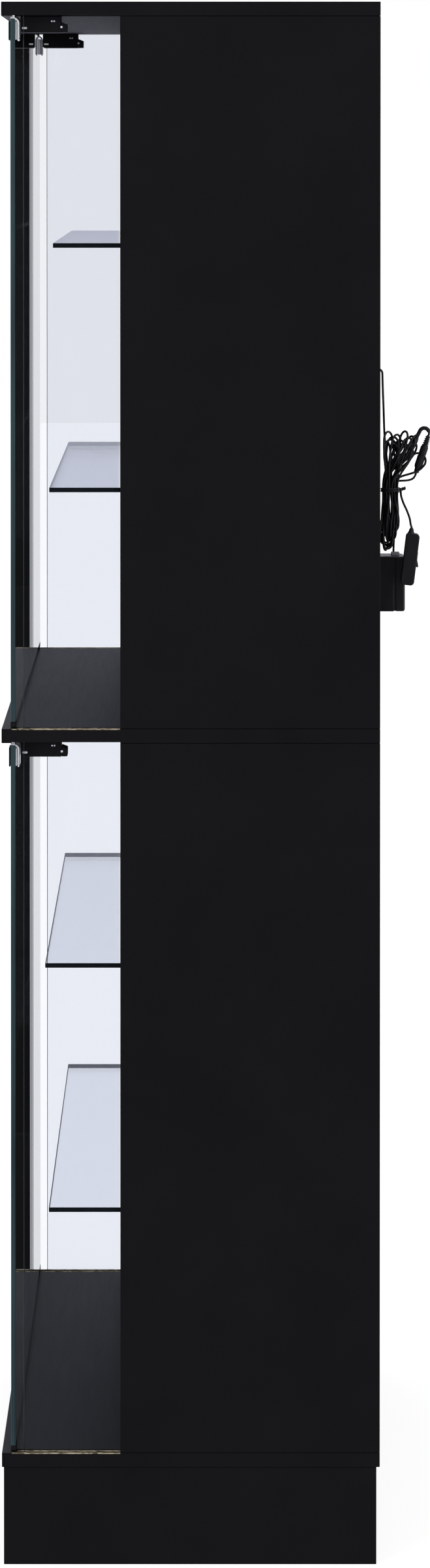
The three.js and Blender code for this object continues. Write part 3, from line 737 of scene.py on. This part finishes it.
RELIEF_HALF = 4.5  # half of its width
RELIEF_BACK, RELIEF_FRONT = 2.5, 6.5  # from the lead, towards and away from the back board
RELIEF_SUNK = 0.8
relief_mesh = bmesh.new()
add_block(
    relief_mesh,
    at(HANK_X - RELIEF_HALF, SOCKET_Y - RELIEF_BACK, adapter_high.z / MM - RELIEF_SUNK),
    at(HANK_X + RELIEF_HALF, SOCKET_Y + RELIEF_FRONT, adapter_high.z / MM + RELIEF_HEIGHT),
    0.8 * MM,
    3,
)
adapter_relief = from_bmesh("adapter_relief", relief_mesh, "cabinet", "relief")

BLADE_PITCH = 12.7
BLADE_HALF = (0.75, 3.2)  # across and up
BLADE_LENGTH, BLADE_SUNK = 16 * MM, 2 * MM
blade_mesh = bmesh.new()
blade_z = lerp(adapter_low.z, adapter_high.z, 0.3)
middle_y = (adapter_low.y + adapter_high.y) / 2
for offset in (-BLADE_PITCH / 2, BLADE_PITCH / 2):
    across = [middle_y + (offset + way * BLADE_HALF[0]) * MM for way in (-1, 1)]
    add_block(
        blade_mesh,
        (adapter_low.x - BLADE_LENGTH, across[0], blade_z - BLADE_HALF[1] * MM),
        (adapter_low.x + BLADE_SUNK, across[1], blade_z + BLADE_HALF[1] * MM),
        0.5 * MM,
    )
adapter_blades = from_bmesh("adapter_blades", blade_mesh, "cabinet", "nickel")

# Inline switch: a collar where the lead enters, and screws in the side that faces the hank
SCREW_PLACES = (-20.5, 20.5)  # along the switch, from its middle
SCREW_DEPTH = -6.2  # across, from its middle to where the heads start
collar_mesh = bmesh.new()
# Radius and height, of the collar and then of a screw's head
collar = [(3.6, -0.8), (3.6, 0.6), (3.0, 1.4), (2.5, 3.6), (1.8, 5.2), (1.4, 5.6)]
collar = [(r * MM, z * MM) for r, z in collar]
place = Matrix.Translation(on_switch(SWITCH_HALF - 0.2, SWITCH_ENTRY)) @ turned(switch_up)
add_lathe(collar_mesh, collar, place, 20)
switch_collar = from_bmesh("switch_collar", collar_mesh, "cabinet", "jacket")

screw_mesh = bmesh.new()
for up in SCREW_PLACES:
    place = Matrix.Translation(on_switch(up, 0, SCREW_DEPTH)) @ turned((-1, 0, 0))
    head = [(1.9, 0.0), (1.9, 0.45), (1.6, 0.7), (0.7, 0.75), (0.55, 0.35)]
    add_lathe(screw_mesh, [(r * MM, z * MM) for r, z in head], place, 16)
switch_screws = from_bmesh("switch_screws", screw_mesh, "cabinet", "nickel")

# ---------------------------------------------------------------- glass

GLASS_ARRIS = 0.55 * MM


def glass_piece(name, node, body, thin_axis, materials):
    """A pane the size of its CAD node, clear on its two faces and dark on its ground edges."""
    low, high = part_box(node)
    bm = bmesh.new()
    add_block(bm, low, high, GLASS_ARRIS, 2)
    for face in bm.faces:
        face.normal_update()
        face.material_index = 0 if abs(face.normal[thin_axis]) > 0.999 else 1
    piece = from_bmesh(name, bm, body, materials)
    for polygon in piece.data.polygons:
        polygon.use_smooth = polygon.material_index != 0
    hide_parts(node)


for level in LEVELS:
    for side, _ in SIDES:
        label = f"{level}_{side}"
        glass_piece(
            f"door_pane_{label}", f"door_glass_{label}", f"door_{label}", 1,
            ("door_glass", "door_edge"),
        )
        glass_piece(
            f"side_pane_{label}", f"side_glass_{label}", "cabinet", 0,
            ("pane_glass", "pane_edge"),
        )
for number in range(1, 5):
    glass_piece(
        f"shelf_pane_{number}", f"glass_shelf_{number}", "cabinet", 2,
        ("pane_glass", "shelf_edge"),
    )

# ---------------------------------------------------------------- raw board edges by the panes

REBATE_FRONT = 10.3 * MM
BORE_CLEARANCE = 16.2 * MM  # from the front, past the door's lower pivot
CHIP = 1.2 * MM  # size of the facets that the uneven face is made of
DENT_SCALE = 900
DENT, DENT_MEAN = 0.18 * MM, 0.2 * MM


def rough_strip(bm, low, high):
    """A thin strip of sawn chipboard whose upper face is uneven."""
    counts = [max(2, round((high[i] - low[i]) / CHIP)) for i in (0, 1)]
    layers = []
    for z, uneven in ((low[2], 0), (high[2], 1)):
        grid = []
        for i in range(counts[0] + 1):
            x = lerp(low[0], high[0], i / counts[0])
            column = []
            for j in range(counts[1] + 1):
                y = lerp(low[1], high[1], j / counts[1])
                dent = noise.noise(Vector((x, y, z)) * DENT_SCALE) * DENT - DENT_MEAN
                column.append(bm.verts.new((x, y, z + uneven * dent)))
            grid.append(column)
        layers.append(grid)
    closed, open_face = layers
    for grid in layers:
        for i in range(counts[0]):
            for j in range(counts[1]):
                bm.faces.new((grid[i][j], grid[i + 1][j], grid[i + 1][j + 1], grid[i][j + 1]))
    rim = [(i, 0) for i in range(counts[0])]
    rim += [(counts[0], j) for j in range(counts[1])]
    rim += [(i, counts[1]) for i in range(counts[0], 0, -1)]
    rim += [(0, j) for j in range(counts[1], 0, -1)]
    for (i, j), (m, n) in zip(rim, rim[1:] + rim[:1]):
        bm.faces.new((closed[i][j], closed[m][n], open_face[m][n], open_face[i][j]))


def side_by_x(a, b, sign):
    """A range of X on the right side, or its mirror image on the left."""
    return (a, b) if sign > 0 else (-b, -a)


panel_low, panel_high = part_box("side_panel_upper_right")
pane_low, pane_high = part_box("side_glass_upper_right")
STRIP_GAP = 0.2 * MM
STRIP_DEPTH = 0.95 * MM
RAW_INSIDE = 3.2 * MM  # how far the raw strip reaches inside the pane; the rest is blackened
WALL_DEPTH = 1.2 * MM  # how far the sawn wall of the pane's groove shows
for node in ("bottom_panel", "mid_panel"):
    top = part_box(node)[1].z
    for side, sign in SIDES:
        bm = bmesh.new()
        rear = panel_low.y - STRIP_GAP
        for x0, x1, front in (
            (pane_low.x - RAW_INSIDE, pane_low.x - 0.3 * MM, BORE_CLEARANCE),
            (pane_high.x + 0.5 * MM, panel_high.x - 0.1 * MM, REBATE_FRONT + STRIP_GAP),
        ):
            x = side_by_x(x0, x1, sign)
            rough_strip(bm, (x[0], FRONT_Y + front, top - STRIP_DEPTH), (x[1], rear, top))
        wall = side_by_x(pane_low.x - 0.25 * MM, pane_low.x - 0.05 * MM, sign)
        add_block(
            bm,
            (wall[0], pane_low.y, top - WALL_DEPTH),
            (wall[1], rear, top - STRIP_GAP),
        )
        from_bmesh(f"raw_edge_{node}_{side}", bm, "cabinet", "raw")

# ---------------------------------------------------------------- hinges

TAIL_SEAM = 43.1 * MM  # from the front of the hinge body
TAIL_SEAM_WIDTH = 0.3 * MM
TAIL_TOP = 5.8 * MM  # how far the tail is below the ceiling
TAIL_SLOPE = 2.4 * MM  # how much lower its rear end is
TAIL_INSET = 0.8 * MM
CASE_CUT = 1.5 * MM  # off the housing's lower front edge
RIVETS = (  # back from the housing's front, down from its top, radius, how far it is proud
    (33.2, 4.8, 0.9, 0.5),
    (35.8, 4.8, 0.9, 0.5),
    (43.5, 11.0, 1.2, 0.2),
)
AXLE_END = ((1.8, 13.1), (7.0, 10.9))  # the same two distances, of two of its corners
AXLE_PROUD = 0.8


def hinge_case(label, low, high):
    """The black housing under the ceiling, with a lower tail and a fine seam before it."""
    bm = bmesh.new()
    seam = low.y + TAIL_SEAM
    front = [(low.y, high.z), (low.y, low.z + CASE_CUT), (low.y + CASE_CUT, low.z)]
    add_prism(bm, [*front, (seam, low.z), (seam, high.z)], low.x, high.x, 0.45 * MM)
    tail = [
        (seam + TAIL_SEAM_WIDTH, high.z - TAIL_TOP),
        (seam + TAIL_SEAM_WIDTH, low.z + 0.2 * MM),
        (high.y - 0.8 * MM, low.z + 0.2 * MM),
        (high.y, low.z + MM),
        (high.y, high.z - TAIL_TOP - TAIL_SLOPE),
    ]
    add_prism(bm, tail, low.x + TAIL_INSET, high.x - TAIL_INSET, 0.4 * MM)
    add_block(
        bm,
        (low.x + 3 * MM, seam - 2 * MM, low.z + 2 * MM),
        (high.x - 3 * MM, seam + 2 * MM, high.z - TAIL_TOP - 1.5 * MM),
    )
    piece = from_bmesh(f"hinge_case_{label}", bm, "cabinet", "black")
    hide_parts(f"hinge_body_{label}")


def hinge_pins(label, low, high):
    """Bright rivets and the ends of the arm's axles, through both sides of the housing."""
    bm = bmesh.new()
    for x, direction in ((high.x, 1), (low.x, -1)):
        for back, down, radius, proud in RIVETS:
            shape = [(radius, -1.0), (radius, proud * 0.6), (radius * 0.7, proud)]
            shape = [(r * MM, h * MM) for r, h in shape]
            place = Matrix.Translation((x, low.y + back * MM, high.z - down * MM))
            add_lathe(bm, shape, place @ turned((direction, 0, 0)), 14)
        corners = [
            (x + way * AXLE_PROUD * MM, low.y + back * MM, high.z - down * MM)
            for way, (back, down) in zip((-1, 1), AXLE_END)
        ]
        add_block(bm, *corners, 0.5 * MM, 3)
    from_bmesh(f"hinge_pins_{label}", bm, "cabinet", "rivet")


CLAMP_LIP = 1.3 * MM  # over the top edge of the glass
CLAMP_PLATE = 2.0 * MM  # behind the glass
CLAMP_BEND = 6.5 * MM  # outer radius of the strip's bend
CLAMP_PLAY = 0.3 * MM  # between the lip and the glass
FOOT_SLANT = 2.2 * MM  # height of the slanted rear edge of the strip's foot
SHIM = 1.8 * MM  # the grey layer between the plate and the glass
SHIM_PLAY = 0.1 * MM
PIVOT_RADIUS = 2.5 * MM
PIVOT_CHAMFER = 0.6 * MM


def clamp_plate(label, body, low, high, glass_low, glass_high):
    """The chrome strip bent over the glass's top, with the pivot pin standing on it."""
    bm = bmesh.new()
    top = glass_high.z + CLAMP_PLAY + CLAMP_LIP
    bend = top - CLAMP_BEND
    inner_bend = CLAMP_BEND - CLAMP_LIP
    plate_front = high.y - CLAMP_PLATE
    outer = arc((high.y - CLAMP_BEND, bend), CLAMP_BEND, 90, 0, 10)
    inner = arc((plate_front - inner_bend, bend), inner_bend, 0, 90, 10)
    slant = low.z + FOOT_SLANT
    foot = [(high.y, slant), (high.y - 0.7 * MM, low.z + 0.4 * MM), (plate_front, low.z)]
    outline = [(low.y, top), *outer, *foot, *inner, (low.y, top - CLAMP_LIP)]
    add_prism(bm, outline, low.x, high.x, 0.25 * MM)
    pivot_x = math.copysign(HINGE_X, low.x)
    pivot_y = (glass_low.y + glass_high.y) / 2
    pin = [
        (PIVOT_RADIUS, top - 0.5 * MM),
        (PIVOT_RADIUS, high.z - PIVOT_CHAMFER),
        (PIVOT_RADIUS - PIVOT_CHAMFER, high.z),
    ]
    add_lathe(bm, pin, Matrix.Translation((pivot_x, pivot_y, 0)), 24)
    piece = from_bmesh(f"clamp_plate_{label}", bm, body, "chrome")
    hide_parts(f"hinge_clamp_{label}")

    shim = bmesh.new()
    add_block(
        shim,
        (low.x + 0.4 * MM, glass_high.y + SHIM_PLAY, low.z + 1.5 * MM),
        (high.x - 0.4 * MM, glass_high.y + SHIM_PLAY + SHIM, bend + 2 * MM),
        0.3 * MM,
    )
    from_bmesh(f"clamp_shim_{label}", shim, body, "shim")


for level in LEVELS:
    for side, sign in SIDES:
        label = f"{level}_{side}"
        hinge_case(label, *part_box(f"hinge_body_{label}"))
        hinge_pins(label, *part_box(f"hinge_body_{label}"))
        clamp_plate(
            label, f"door_{label}", *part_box(f"hinge_clamp_{label}"), *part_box(f"door_glass_{label}")
        )

# ---------------------------------------------------------------- finishes of the CAD nodes

FINISH_BY_SLOT = {
    "black_board": "board",
    "black_plinth": "plinth",
    "back_board": "back",
    "clear_glass": "pane_glass",
    "door_glass": "door_glass",
    "chrome": "chrome",
    "black_plastic": "black",
    "nickel_steel": "nickel",
    "light_diffuser": "light",
    "cord_jacket": "jacket",
    "gloss_black_plastic": "housing",
}
BANDED = ("top_panel", "mid_panel", "bottom_panel")
for subpart in frame["record"]["subparts"]:
    node = nodes[subpart["node"]]
    finish = "panel" if subpart["node"] in BANDED else FINISH_BY_SLOT[subpart["material_slot"]]
    node.data.materials.clear()
    node.data.materials.append(MATERIAL[finish])

# ---------------------------------------------------------------- stage

FLOOR_SIZE = 40.0
FLOOR_SHADE, FLOOR_GLOW = 0.3, 0.79


def stage_sheet(name, corners, shade, glow):
    """A flat sheet of the set, which isn't part of the cabinet; it glows as well as being lit."""
    mesh = bpy.data.meshes.new(name)
    mesh.from_pydata(corners, [], [tuple(range(len(corners)))])
    obj = bpy.data.objects.new(name, mesh)
    bpy.context.scene.collection.objects.link(obj)
    g = Graph(name)
    mottle = g.noise(g.position(), 3.0, 2, 0.5)
    g.surface(
        **{
            "Base Color": g.mix(mottle, (shade, shade, shade, 1), (*[shade * 0.98] * 3, 1)),
            "Roughness": 0.9,
            "Specular IOR Level": 0.0,
            "Emission Color": (1, 1, 1, 1),
            "Emission Strength": glow,
        }
    )
    mesh.materials.append(g.material)
    return obj


REACH = FLOOR_SIZE / 2
floor = stage_sheet(
    "floor",
    [(-REACH, -REACH, 0), (REACH, -REACH, 0), (REACH, REACH, 0), (-REACH, REACH, 0)],
    FLOOR_SHADE,
    FLOOR_GLOW,
)
floor.visible_glossy = False

# Cards that only reflections show. On the far side of the cabinet, the doors seen almost edge
# on mirror black, then grey, then white. On the near side, a flag keeps the side windows clear,
# and the white card next to it lights the ends of the clamps. The grey card in front of the
# doors lets the shelves show through them.
FAR_X = -3.0
NEAR_X = camera.location.x + 0.3
FRONT_CARD_Y = -3.5
CARD_SHADE = 0.001  # so that lights don't add to what a card glows
CARDS = (  # name, one lower corner, the opposite upper corner, glow
    ("rear_black", (FAR_X, -0.052, -1.4), (FAR_X, -0.081, 1.75), 0.006),
    ("rear_grey", (FAR_X, -0.081, -1.4), (FAR_X, -0.0855, 1.75), 0.36),
    ("rear_white", (FAR_X, -0.0855, -1.4), (FAR_X, -0.13, 1.75), 0.84),
    ("camera_flag", (NEAR_X, 4.0, -4.0), (NEAR_X, -0.3644, 5.0), 0.0),
    ("camera_white", (NEAR_X, -0.3644, 0.4), (NEAR_X, -1.2, 2.3), 1.1),
    ("front_grey", (-1.9, FRONT_CARD_Y, -4.0), (5.0, FRONT_CARD_Y, 3.0), 0.28),
)
for name, (x0, y0, z0), (x1, y1, z1), glow in CARDS:
    corners = [(x0, y0, z0), (x1, y1, z0), (x1, y1, z1), (x0, y0, z1)]
    card = stage_sheet(name, corners, CARD_SHADE, glow)
    card.visible_camera = card.visible_diffuse = card.visible_transmission = False
    card.visible_shadow = False

world = bpy.data.worlds.new("studio")
bpy.context.scene.world = world
world.use_nodes = True
world_nodes = world.node_tree
background = world_nodes.nodes["Background"]
SHINE = (0.69, 0.7, 0.78, 1)  # the studio in reflections, cooler and dimmer than where it's seen
rays = world_nodes.nodes.new("ShaderNodeLightPath")
tone = world_nodes.nodes.new("ShaderNodeMix")
tone.data_type = "RGBA"
tone.inputs["A"].default_value = (1, 1, 1, 1)
tone.inputs["B"].default_value = SHINE
world_nodes.links.new(rays.outputs["Is Glossy Ray"], tone.inputs["Factor"])
world_nodes.links.new(tone.outputs["Result"], background.inputs["Color"])


def softbox(name, place, target, size, power):
    data = bpy.data.lights.new(name, "AREA")
    data.shape = "RECTANGLE"
    data.size, data.size_y = size
    data.energy = power
    obj = bpy.data.objects.new(name, data)
    bpy.context.scene.collection.objects.link(obj)
    obj.location = place
    obj.rotation_euler = (Vector(target) - Vector(place)).to_track_quat("-Z", "Y").to_euler()


CASE_MIDDLE = (0, 0, 0.9)
SOFTBOX_SIZE = (2.5, 2.5)
softbox("key", (4.5, -3.5, 3.2), CASE_MIDDLE, SOFTBOX_SIZE, 70)
softbox("fill", (4.0, 3.5, 2.2), CASE_MIDDLE, SOFTBOX_SIZE, 40)
